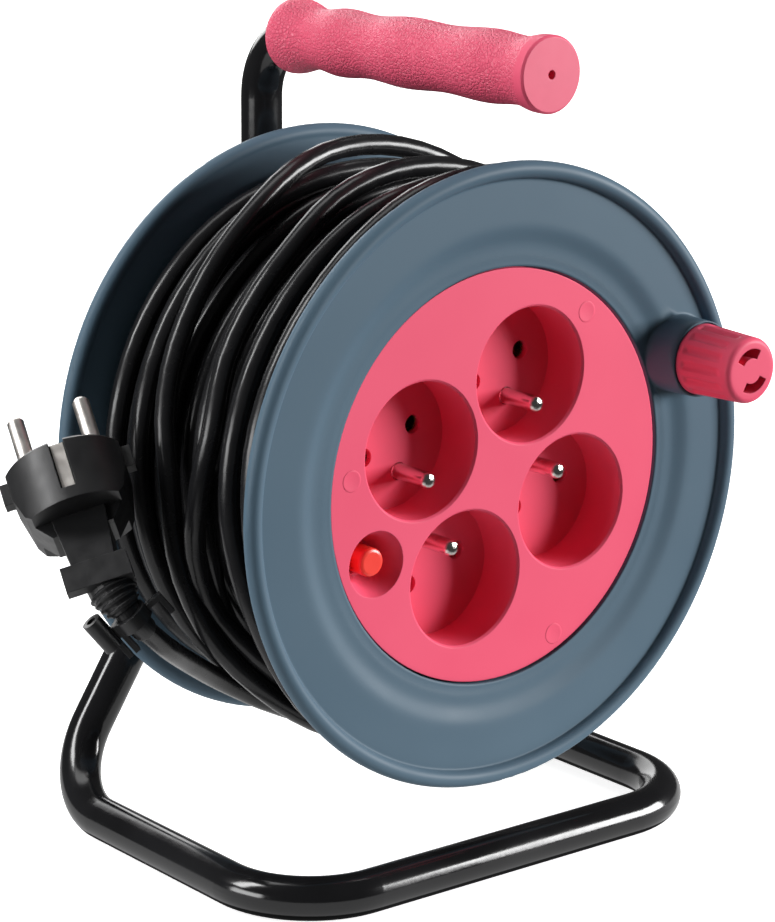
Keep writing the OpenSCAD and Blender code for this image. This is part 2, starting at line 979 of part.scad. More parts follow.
module contact_carrier() {
    reach = socket_xy + contact_gauge / 2;
    inner = socket_xy - contact_gauge / 2;
    color("#d8d4c8")
        on_drum()
            difference() {
                union() {
                    bar(carrier_y, carrier_y + carrier_t, carrier_r);
                    for (s = [-1, 1])
                        block(
                            s * (reach - inner) / 2, s * neutral_z, inner + reach, bar_w,
                            neutral_bar_y + bar_t, carrier_y + 1
                        );
                    for (sx = [-1, 1], sy = [-1, 1])
                        translate([sx * stop_x, sy * earth_z, 0])
                            bar(earth_bar_y + bar_t, carrier_y + 1, stop_r);
                }
                block(
                    -carrier_r - (button_pos_r - breaker_w / 2) + 0.5, 0, 2 * carrier_r, breaker_h + 4,
                    carrier_y - 1, carrier_y + carrier_t + 1
                );
                at_posts()
                    screw_hole_front(carrier_y + carrier_t);
                translate([neutral_lead_x, -neutral_z, 0])
                    bar(neutral_bar_y, carrier_y + carrier_t + 1, lead_hole_r);
                translate([earth_lead_x, -earth_z, 0])
                    bar(carrier_y - 1, carrier_y + carrier_t + 1, lead_hole_r);
                translate([live_lead_x, live_z, 0])
                    bar(carrier_y - 1, carrier_y + carrier_t + 1, lead_hole_r);
                for (s = [-1, 1])
                    translate([s * clamp_screw_x, clamp_z, 0])
                        bar(carrier_y - 1, carrier_y + carrier_t + 1, screw_r + seat_gap);
            }
}

module carrier_screws() {
    color("#b8bcc0")
        on_drum()
            at_posts()
                screw_front(carrier_y + carrier_t);
}

// Overload cut-out
module thermal_breaker() {
    color("#26262a")
        on_drum()
            difference() {
                union() {
                    block(-button_pos_r, 0, breaker_w, breaker_h, breaker_y, shoulder_y);
                    block(-button_pos_r, 0, breaker_w, shoulder_h, shoulder_y - eps, breaker_back);
                }
                translate([-button_pos_r, 0, 0]) {
                    bar(breaker_y - 1, pocket_back - 1, guide_r);
                    bar(breaker_y + breaker_front_t, pocket_back, pocket_r);
                }
            }
}

module reset_spring() {
    spring_r = 4.4;
    wire_r = 0.4;
    y0 = foot_y + button_foot_t + button_stroke + 0.1 + wire_r;
    y1 = pocket_back - wire_r;
    turns = 3;
    steps = 12 * turns;
    line = [
        for (i = [0:steps])
            [
                spring_r * cos(360 * turns * i / steps), spring_r * sin(360 * turns * i / steps),
                -(y0 + (y1 - y0) * i / steps)
            ]
    ];
    color("#b8bcc0")
        on_drum()
            translate([-button_pos_r, 0, 0])
                swept(
                    line, [for (p = line) wire_r], lead_sides, [0, 0, 1], unit(line[1] - line[0]),
                    unit(line[steps] - line[steps - 1])
                );
}

module reset_button() {
    color("#ff5a3c")
        on_drum()
            translate([-button_pos_r, 0, 0])
                turned([
                    [0, button_tip_y], [button_d / 2 - 1, button_tip_y],
                    [button_d / 2 - 0.3, button_tip_y + 0.3],
                    [button_d / 2, button_tip_y + 1], [button_d / 2, foot_y], [button_foot_r, foot_y],
                    [button_foot_r, foot_y + button_foot_t], [0, foot_y + button_foot_t]
                ]);
}

// Winding knob
module winding_knob() {
    edge = [
        for (a = [0:15:90])
            [knob_end_r - knob_round * (1 - cos(a)), knob_end_y + knob_round * (1 - sin(a))]
    ];
    color("#f25f7d")
        on_drum()
            translate([knob_pos_r, 0, 0])
                difference() {
                    turned(concat([[0, knob_base_y], [knob_d / 2, knob_base_y]], edge, [[0, knob_end_y]]));
                    bar(post_tip_y - 0.3, knob_base_y + 1, post_knob_r + run_gap);
                    turned([
                        [0, post_tip_y + 3], [post_knob_r, post_tip_y + 3], [snap_groove_r, post_tip_y + 2.4],
                        [snap_groove_r, post_tip_y + 1.2], [post_knob_r, post_tip_y + 0.4],
                        [0, post_tip_y + 0.4]
                    ]);
                    for (k = [0:knob_flutes - 1])
                        rotate([0, 0, (k + 0.5) * 360 / knob_flutes])
                            block(
                                knob_d / 2 - flute_depth + 2, 0, 4, flute_w,
                                knob_base_y - flute_part * knob_len, knob_base_y + 1
                            );
                    for (a = [0, 180])
                        rotate([0, 0, a - slot_arc / 2 + 90])
                            rotate_extrude(angle = slot_arc)
                                translate([slot_r - slot_w / 2, -knob_end_y - slot_depth])
                                    square([slot_w, slot_depth + 1]);
                }
}

// Cord inlet
module cord_gland() {
    $fn = 160;
    color("#1c1c1e")
        on_drum()
            translate([0, 0, -gland_y])
                difference() {
                    union() {
                        intersection() {
                            rotate([90, 0, 0])
                                cylinder(h = core_r, r = gland_r);
                            translate([0, 0, -20])
                                cylinder(h = 40, r = core_r);
                        }
                        intersection() {
                            rotate([90, 0, 0])
                                cylinder(h = core_r, r = gland_flange_r);
                            translate([0, 0, -20])
                                cylinder(h = 40, r = core_in_r - seat_gap);
                        }
                    }
                    rotate([90, 0, 0])
                        cylinder(h = core_in_r - gland_depth, r = gland_flange_r + 1);
                    rotate([90, 0, 0])
                        cylinder(h = core_r + 1, r = cord_r + seat_gap);
                }
}

module cord_inner() {
    mouth = -(core_in_r + 0.6);
    color("#1c1c1e")
        on_drum()
            cord_through(
                [
                    [0, mouth, -gland_y], [0, mouth + 4.5, -gland_y], [0, mouth + 11, -gland_y + 2],
                    [0, mouth + 18, -clamp_y - 6.5], [0, clamp_z - 6, -clamp_y - 0.6], [0, clamp_z, -clamp_y],
                    [0, clamp_z + 7, -clamp_y]
                ],
                cord_r, cord_sides, [1, 0, 0], 3
            );
}

module cord_clamp() {
    color("#d8d4c8")
        on_drum()
            difference() {
                block(0, clamp_z, clamp_w, clamp_h, carrier_y + carrier_t, clamp_y + cord_r + clamp_t);
                translate([0, clamp_z - clamp_h, -clamp_y])
                    rotate([-90, 0, 0])
                        cylinder(h = 2 * clamp_h, r = cord_r + seat_gap);
                block(0, clamp_z, 2 * (cord_r + seat_gap), 2 * clamp_h, carrier_y, clamp_y);
                for (s = [-1, 1])
                    translate([s * clamp_screw_x, clamp_z, 0])
                        screw_hole_front(clamp_y + cord_r + clamp_t);
            }
}

module clamp_screws() {
    color("#b8bcc0")
        on_drum()
            for (s = [-1, 1])
                translate([s * clamp_screw_x, clamp_z, 0])
                    screw_front(clamp_y + cord_r + clamp_t);
}

// Leads inside the drum, starting at the end of the cord
lead_from = clamp_z + 7;

module lead_live() {
    color("#7a4a2a")
        on_drum()
            cord_through(
                [
                    [-lead_lay, lead_from, -clamp_y - lead_lay],
                    [-lead_lay, lead_from + 3, -clamp_y - lead_lay],
                    [-8, lead_from + 10, -clamp_y - 4], [-24, -8, -breaker_back - 7],
                    [-40, -3, -breaker_back - 8], [-44, -3, -breaker_back - 4], [-44, -3, -breaker_back]
                ],
                lead_r, lead_sides, [0.2, 0.3, 1], 4
            );
}

module lead_breaker() {
    color("#7a4a2a")
        on_drum()
            cord_through(
                [
                    [-50, 3, -breaker_back], [-50, 3, -breaker_back - 4], [-44, 12, -breaker_back - 5],
                    [-30, 20, -carrier_y - carrier_t - 5], [live_lead_x, live_z, -carrier_y - carrier_t - 2],
                    [live_lead_x, live_z, -carrier_y]
                ],
                lead_r, lead_sides, [0.6, -1, 0.1], 4
            );
}

module lead_neutral() {
    color("#3f6fb0")
        on_drum()
            cord_through(
                [
                    [-lead_lay, lead_from, -clamp_y + lead_lay],
                    [-lead_lay, lead_from + 3, -clamp_y + lead_lay],
                    [-8, lead_from + 5, -clamp_y + 1], [-16, lead_from + 1, -clamp_y + 0.5],
                    [neutral_lead_x, -neutral_z, -carrier_y - carrier_t - 1.5],
                    [neutral_lead_x, -neutral_z, -neutral_bar_y - bar_t]
                ],
                lead_r, lead_sides, [0.5, 0.3, 0.9], 4
            );
}

module lead_earth() {
    color("#6fa04a")
        on_drum()
            cord_through(
                [
                    [1.7, lead_from, -clamp_y], [1.7, lead_from + 3, -clamp_y], [4, lead_from + 10, -clamp_y],
                    [earth_lead_x, -earth_z, -carrier_y - carrier_t - 1.5],
                    [earth_lead_x, -earth_z, -earth_bar_y - bar_t]
                ],
                lead_r, lead_sides, [1, 0.15, 0.1], 4
            );
}

// Cord on the drum and its free end
module cord_winding() {
    color("#1c1c1e")
        on_drum()
            turned(concat(
                [[coil_in_r, coil_front]],
                [for (m = coil_marks) [groove_r + m[1], coil_front + m[0] * coil_l]],
                [[coil_in_r, coil_back]]
            ));
}

lay_r = groove_r + lay_gap + cord_r;
function round_reel(a, lift, part) = [(lay_r + lift) * cos(a), part * reel_w, (lay_r + lift) * sin(a)];
tail_points = [for (m = tail_marks) round_reel(m[0], m[1], m[2])];
tail_line = smooth(tail_points, tail_steps);
tail_dir = unit(tail_line[1] - tail_line[0]);
tail_end_dir = unit(tail_line[len(tail_line) - 1] - tail_line[len(tail_line) - 2]);

module cord_tail() {
    color("#1c1c1e")
        at_axis()
            swept(tail_line, [for (p = tail_line) cord_r], cord_sides, tail_ref, tail_dir, tail_end_dir);
}

plug_o = round_reel(plug_angle, plug_lift, plug_part);
plug_axis = [sin(plug_ry), -sin(plug_rx) * cos(plug_ry), cos(plug_rx) * cos(plug_ry)];
function turn_x(a, v) = [v[0], v[1] * cos(a) - v[2] * sin(a), v[1] * sin(a) + v[2] * cos(a)];
function turn_y(a, v) = [v[0] * cos(a) + v[2] * sin(a), v[1], v[2] * cos(a) - v[0] * sin(a)];
function turn_z(a, v) = [v[0] * cos(a) - v[1] * sin(a), v[0] * sin(a) + v[1] * cos(a), v[2]];
boot_start = plug_o + turn_x(plug_rx, turn_y(plug_ry, turn_z(plug_rz, boot_off)));
function bezier(a, b, c, d, t) =
    pow(1 - t, 3) * a + 3 * pow(1 - t, 2) * t * b + 3 * (1 - t) * t * t * c + pow(t, 3) * d;
function boot_at(t) = bezier(
    boot_start, boot_start - boot_pull_in * plug_axis,
    tail_line[0] - boot_pull_out * tail_dir, tail_line[0], t
);
boot_line = [for (i = [0:boot_steps]) boot_at(i / boot_steps)];
function boot_cone(t) =
    boot_base_r + (boot_tip_r - boot_base_r) * max(0, t - ribs_from) / (ribs_to - ribs_from);
function boot_radius(i) =
    i > ribs_to * boot_steps
    ? cord_r + boot_sleeve
    : boot_cone(i / boot_steps) + (i > ribs_from * boot_steps && i % 4 < 2 ? boot_rib : 0);

module at_plug() {
    at_axis()
        translate(plug_o)
            rotate([plug_rx, 0, 0])
                rotate([0, plug_ry, 0])
                    rotate([0, 0, plug_rz])
                        children();
}

// Plate across the plug, points as [half width, depth]
module plug_plate(points, h) {
    rotate([90, 0, 0])
        translate([0, 0, -h / 2])
            linear_extrude(height = h)
                polygon(concat(
                    [for (p = points) [p[0], -p[1]]],
                    [for (i = [len(points) - 1:-1:0]) [-points[i][0], -points[i][1]]]
                ));
}

// Collar at the plug's rear, its rear face sloping
module plug_collar() {
    hull() {
        block(0, 0, collar_w, collar_h, collar_front, collar_front + 1);
        block(0, (collar_lip - collar_h) / 2, collar_w, collar_lip, collar_back - 1, collar_back);
    }
}

module plug_body() {
    color("#1c1c1e")
        at_plug()
            difference() {
                union() {
                    intersection() {
                        union() {
                            turned([
                                [0, 0], [plug_r - plug_edge, 0], [plug_r, plug_edge], [plug_r, plug_front_l],
                                [0, plug_front_l]
                            ]);
                            block(0, 0, plug_d, wing_h, wing_front, block_end);
                        }
                        plug_plate(plug_side, plug_d + 2);
                    }
                    plug_plate(block_side, block_h);
                    plug_collar();
                    for (s = [-1, 1])
                        block(s * flank_x, lug_at, lug_w, lug_h, lug_front, lug_back);
                }
                for (s = [-1, 1]) {
                    block(0, s * (plug_r - channel_depth + 3), channel_w, 6, -1, channel_l);
                    translate([s * contact_gauge / 2, 0, 0])
                        bar(-1, plug_pin_root, plug_root_r + seat_gap);
                }
                translate([0, earth_offset, 0])
                    bar(-1, earth_hole_l, earth_hole_r);
            }
}

module plug_pins() {
    color("#cfd2d4")
        at_plug()
            for (s = [-1, 1])
                translate([s * contact_gauge / 2, 0, 0])
                    turned([
                        [0, plug_pin_root], [plug_root_r, plug_pin_root], [plug_root_r, 0],
                        [plug_pin_d / 2, 0], [plug_pin_d / 2, pin_tip_l - plug_pin_l],
                        [(plug_pin_d / 2 + pin_tip_r) / 2, pin_tip_l / 4 - plug_pin_l],
                        [pin_tip_r, -plug_pin_l], [0, -plug_pin_l]
                    ]);
}

module plug_earth_strips() {
    color("#cfd2d4")
        at_plug()
            for (s = [-1, 1])
                block(0, s * (plug_r - channel_depth + strip_t / 2), strip_w, strip_t, strip_sink, channel_l);
}

// Bent strain relief with the room g round it
module boot(g) {
    swept(
        boot_line, [for (i = [0:boot_steps]) boot_radius(i) + g], boot_sides, tail_ref, -plug_axis, tail_dir
    );
}

module plug_strain_relief() {
    color("#1c1c1e")
        difference() {
            at_axis()
                boot(0);
            at_plug()
                plug_collar();
        }
}

module cord_clip() {
    at = round(clip_at * boot_steps);
    ring_r = cord_r + boot_sleeve + clip_wall;
    color("#1c1c1e")
        at_axis()
            difference() {
                multmatrix(along(tangent(boot_line, at), boot_line[at], clip_ref)) {
                    translate([0, 0, -clip_l / 2])
                        cylinder(h = clip_l, r = ring_r);
                    difference() {
                        union() {
                            translate([stub_x, 0, 3 - stub_l])
                                cylinder(h = stub_l, r = stub_r);
                            block(stub_x / 2, 0, stub_x, tongue_w, -clip_l / 2, clip_l / 2);
                        }
                        translate([stub_x, 0, 2 - stub_l])
                            cylinder(h = stub_hole_l + 1, r = stub_hole_r);
                    }
                    for (k = [0, 1])
                        translate([ring_r - 1 + 1.5 * k * tongue_w, -tongue_h / 2, -clip_l / 2])
                            cube([tongue_w, tongue_h, clip_l / 2 + tongue_l]);
                    block(-hook_x / 2, 0, hook_x, hook_h, -hook_t / 2, hook_t / 2);
                    block(hook_t / 2 - hook_x, 0, hook_t, hook_h, -hook_t / 2 - hook_l, hook_t / 2);
                }
                boot(clip_gap);
            }
}

base_frame();
handle_tube();
handle_grip();
hub_plate();
stub_axle();
thrust_washer();
retaining_washer();
axle_screw();
front_flange();
rear_flange();
drum_core();
hub_bush();
front_screws();
rear_screws();
socket_panel();
earth_pins();
live_bar();
neutral_bar();
earth_bar();
contact_carrier();
carrier_screws();
thermal_breaker();
reset_spring();
reset_button();
winding_knob();
cord_gland();
cord_inner();
cord_clamp();
clamp_screws();
lead_live();
lead_breaker();
lead_neutral();
lead_earth();
cord_winding();
cord_tail();
plug_body();
plug_pins();
plug_earth_strips();
plug_strain_relief();
cord_clip();
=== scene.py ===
import json
import math

import bmesh
import bpy
import numpy as np
from mathutils import Matrix, Vector

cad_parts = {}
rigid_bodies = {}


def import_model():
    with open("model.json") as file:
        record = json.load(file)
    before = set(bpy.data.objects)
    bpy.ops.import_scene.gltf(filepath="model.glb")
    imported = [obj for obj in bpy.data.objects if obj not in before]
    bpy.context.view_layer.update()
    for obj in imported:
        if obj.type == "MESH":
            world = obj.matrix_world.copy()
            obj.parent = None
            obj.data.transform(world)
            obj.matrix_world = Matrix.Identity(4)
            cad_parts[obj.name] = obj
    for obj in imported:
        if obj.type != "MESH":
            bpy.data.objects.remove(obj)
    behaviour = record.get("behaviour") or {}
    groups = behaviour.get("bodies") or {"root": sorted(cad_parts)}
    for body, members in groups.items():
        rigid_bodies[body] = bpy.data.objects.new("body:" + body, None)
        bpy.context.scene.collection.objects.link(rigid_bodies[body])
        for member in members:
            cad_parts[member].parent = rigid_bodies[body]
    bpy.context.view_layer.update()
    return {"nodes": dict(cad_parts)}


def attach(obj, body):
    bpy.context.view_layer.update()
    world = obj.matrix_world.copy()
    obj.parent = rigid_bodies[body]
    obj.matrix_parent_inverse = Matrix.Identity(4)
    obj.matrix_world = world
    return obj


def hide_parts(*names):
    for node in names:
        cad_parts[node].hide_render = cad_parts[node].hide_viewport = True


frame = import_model()
nodes = frame["nodes"]
scene = bpy.context.scene

MM = 0.001
AXIS_H = 0.117       # height of the reel's axis above the floor, in m
FRONT_Y = -0.045125  # the front flange's face, along Y, in m


def reel_point(angle, depth, radius):
    """A point round the reel: angle in degrees, depth behind the front flange's face and radius in mm."""
    a = math.radians(angle)
    return Vector((radius * math.cos(a) * MM, FRONT_Y + depth * MM, AXIS_H + radius * math.sin(a) * MM))


# The camera, fitted to the photo: place in m, viewing direction, roll in degrees, lens in mm.
CAMERA_PLACE = (-0.5604, -0.692425, 0.3381)
CAMERA_WAY = (0.6061, 0.7567, -0.2451)
CAMERA_ROLL = 0.44
CAMERA_LENS = 122.45


def make_camera():
    data = bpy.data.cameras.new("camera")
    data.lens = CAMERA_LENS
    data.sensor_width = 36.0
    data.sensor_fit = "AUTO"
    data.clip_start = 0.01
    cam = bpy.data.objects.new("camera", data)
    scene.collection.objects.link(cam)
    forward = Vector(CAMERA_WAY).normalized()
    right = forward.cross(Vector((0, 0, 1))).normalized()
    up = right.cross(forward)
    c, s = math.cos(math.radians(CAMERA_ROLL)), math.sin(math.radians(CAMERA_ROLL))
    turn = Matrix((right * c + up * s, up * c - right * s, -forward)).transposed()
    cam.matrix_world = Matrix.Translation(CAMERA_PLACE) @ turn.to_4x4()
    scene.camera = cam


make_camera()

# From here on, sizes are in mm and angles in degrees.
CORD_D = 6.2
CORE_R = 63.0

# The outer turns from the free end inwards: angle, depth, least radius of the centre line.
OUTER_TURNS = [
    (265, 56.7, 83.5), (300, 61, 84), (345, 66, 85), (390, 69, 85.6), (430, 70.5, 86), (454, 69.8, 86),
    (466, 66, 85.2), (482, 59.5, 84), (500, 56.8, 82.6), (515, 55.5, 81.6), (528, 52.5, 80.8), (541, 47, 80.4),
    (555, 43.8, 80.4), (568, 38.5, 81), (585, 31, 80.6), (620, 26, 80), (700, 24, 80.6), (780, 24, 81),
    (830, 23.5, 81), (850, 22, 81), (880, 21.5, 80), (900, 21, 80), (912, 19, 80), (925, 14.6, 80),
    (945, 11.5, 80), (1000, 10.2, 82), (1080, 9.6, 84), (1150, 9.4, 85), (1180, 10.4, 85), (1205, 8.6, 83.5),
    (1225, 9.4, 82), (1245, 10.6, 81), (1262, 9.8, 80.4), (1280, 8.6, 80), (1330, 9.5, 78), (1380, 12, 77),
    (1430, 21, 77), (1480, 33, 80), (1530, 39, 84), (1550, 37.5, 84), (1569, 33.2, 82.6), (1590, 33.4, 81),
    (1606, 31.2, 80.4), (1620, 34.6, 80), (1634, 39, 80), (1644, 39.4, 79), (1656, 33, 79), (1672, 28, 78),
    (1700, 30, 77), (1740, 38, 76), (1800, 44, 76), (1870, 44.6, 77), (1910, 42, 78), (1945, 40.6, 77),
    (1975, 39.2, 76), (1995, 40, 75), (2010, 45, 75), (2040, 49.4, 75), (2092, 50.4, 75), (2130, 57.5, 75),
    (2220, 63, 76), (2300, 65, 77), (2343, 63, 78), (2360, 61, 78), (2372, 59, 78), (2395, 54, 77),
    (2430, 64.5, 75), (2446, 67.4, 75), (2520, 76, 75), (2580, 81.6, 76), (2720, 82.2, 76),
]
# The layers under them, from the outside inwards: the depth of each turn.
INNER_LAYERS = [
    [76, 69, 62, 55, 48, 41, 34, 27, 20, 13],
    [7.4, 14.2, 21, 27.8, 34.6, 41.4, 48.2, 55, 61.8, 68.6, 75.6, 82.6],
    [78.6, 71.8, 65],
]
INNER_PRESS, OUTER_PRESS = 0.84, 0.95  # how flat the turns above press a cord
# Turning past the plug: depths, and how far out the cord's centre line may lie there.
PLUG_DEPTHS = (48, 54, 57, 60, 63, 66, 69)
PLUG_ROOM = (90, 85.2, 84.6, 84.2, 84.2, 85, 87.5)
GLAND_ANGLE, GLAND_DEPTH = 292.5, 60.0
GLAND_SINK = 1                    # how far inside the core's wall the winding starts
STEP = 5                          # angle between the points of the winding
TO_INNER = 150                    # angle from the last outer mark to the first inner one
INNER_BEFORE = 100                # the inner layers begin at this angle before their first mark
TO_GLAND = 110                    # least angle from the last inner mark to the gland
GLAND_CLEAR = 60                  # no mark lies nearer to the gland than this angle
CLIMB, CLIMB_POWER = 40.0, 0.7    # angle and course of the rise from the gland to the first layer
CORE_GAP = 0.1                    # room under the first layer
HUMP_POINTS, HUMP_FALL = 6, 0.75  # the hump before a crossing: its points, and the fall at each of them
EVENED = 7                        # points in the moving average of the radius


def smooth_between(xs, ys, at):
    """A smooth curve through points with growing xs, that never overshoots between them."""
    h = np.diff(xs)
    slope = np.diff(ys) / h
    m = np.zeros(len(xs))
    m[0], m[-1] = slope[0], slope[-1]
    for i in range(1, len(xs) - 1):
        if slope[i - 1] * slope[i] > 0:
            w1, w2 = 2 * h[i] + h[i - 1], h[i] + 2 * h[i - 1]
            m[i] = (w1 + w2) / (w1 / slope[i - 1] + w2 / slope[i])
    k = np.clip(np.searchsorted(xs, at) - 1, 0, len(h) - 1)
    t = (at - xs[k]) / h[k]
    return (ys[k] * (1 + 2 * t) * (1 - t) ** 2 + h[k] * m[k] * t * (1 - t) ** 2
            + ys[k + 1] * t ** 2 * (3 - 2 * t) + h[k] * m[k + 1] * t ** 2 * (t - 1))


def winding_points():
    """The wound cord, from the gland in the core's wall out to its last turn, laid turn on turn."""
    marks = list(OUTER_TURNS)
    angle = OUTER_TURNS[-1][0] + TO_INNER
    inner_from = angle - INNER_BEFORE
    for depth in sum(INNER_LAYERS, []):
        marks.append((angle, depth, 0))
        angle += 360
    last = GLAND_ANGLE + 360 * math.ceil((angle - 360 + TO_GLAND - GLAND_ANGLE) / 360)
    marks = [m for m in marks if m[0] < last - GLAND_CLEAR] + [(last, GLAND_DEPTH, 0)]
    table = np.array(marks)
    angles = np.arange(last, marks[0][0] - 1e-6, -STEP)
    depth = smooth_between(table[:, 0], table[:, 1], angles)
    least = np.interp(angles, table[:, 0], table[:, 2])
    apart = CORD_D * np.where(angles > inner_from, INNER_PRESS, OUTER_PRESS)
    radius = np.zeros(len(angles))
    per_turn = 360 // STEP
    for i in range(len(angles)):
        r = max(CORE_R + CORD_D / 2 + CORE_GAP, least[i])
        for j in range(i - per_turn, -1, -per_turn):
            gap = abs(depth[i] - depth[j])
            if gap < apart[j]:
                r = max(r, radius[j] + math.sqrt(apart[j] ** 2 - gap ** 2))
        radius[i] = r
        # The cord is stiff: it rises to a crossing in a long low hump.
        for k in range(1, HUMP_POINTS + 1):
            if i >= k:
                radius[i - k] = max(radius[i - k], r - HUMP_FALL * k)
    radius = np.minimum(radius, np.interp(depth, PLUG_DEPTHS, PLUG_ROOM))
    radius = np.convolve(np.pad(radius, EVENED // 2, mode="edge"), np.ones(EVENED) / EVENED, mode="valid")
    climb = np.clip(np.arange(len(angles)) * STEP / CLIMB, 0, 1) ** CLIMB_POWER
    start = CORE_R - GLAND_SINK
    radius = start + (radius - start) * climb
    return [reel_point(a, d, r) for a, d, r in zip(angles, depth, radius)]


def make_cord(name, points):
    data = bpy.data.curves.new(name, "CURVE")
    data.dimensions = "3D"
    data.bevel_depth = 1.0
    data.bevel_resolution = 4
    data.use_fill_caps = True
    data.twist_mode = "MINIMUM"
    spline = data.splines.new("POLY")
    spline.points.add(len(points) - 1)
    for p, co in zip(spline.points, points):
        p.co = (*co, 1.0)
        p.radius = CORD_D / 2 * MM
    spline.use_smooth = True
    obj = bpy.data.objects.new(name, data)
    scene.collection.objects.link(obj)
    return obj


wound = winding_points()
winding = make_cord("wound_cord", wound)
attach(winding, "drum")
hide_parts("cord_winding")

REEL_W = 90.0
TAIL_R = 83.5   # where the free end lies on the winding
TAIL_STEPS = 6  # points from one mark to the next
# The free end: angle round the reel, lift off the winding, part of the reel's width.
TAIL_MARKS = [
    (197.5, 24, 0.33), (204.5, 16.4, 0.398), (212.5, 9.4, 0.491), (223, 3.6, 0.578), (231.5, 1, 0.609),
    (240, 0, 0.616), (252, 0, 0.62), (265, 0, 0.63),
]


def through(points, steps):
    """Points on a smooth curve through the given ones."""
    ends = [points[0] * 2 - points[1]] + points + [points[-1] * 2 - points[-2]]
    out = []
    for i in range(1, len(ends) - 2):
        a, b, c, d = ends[i - 1:i + 3]
        for k in range(steps):
            t = k / steps
            out.append(0.5 * (2 * b + (c - a) * t + (2 * a - 5 * b + 4 * c - d) * t ** 2
                              + (3 * b - a - 3 * c + d) * t ** 3))
    return out + [points[-1]]


marks = [reel_point(a, part * REEL_W, TAIL_R + lift) for a, lift, part in TAIL_MARKS]
tail_line = through(marks, TAIL_STEPS)[::-1]
tail = make_cord("free_cord", tail_line)
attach(tail, "frame")
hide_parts("cord_tail")


NOISE_RANGE = (0.3, 0.7)  # nearly all values of the noise texture


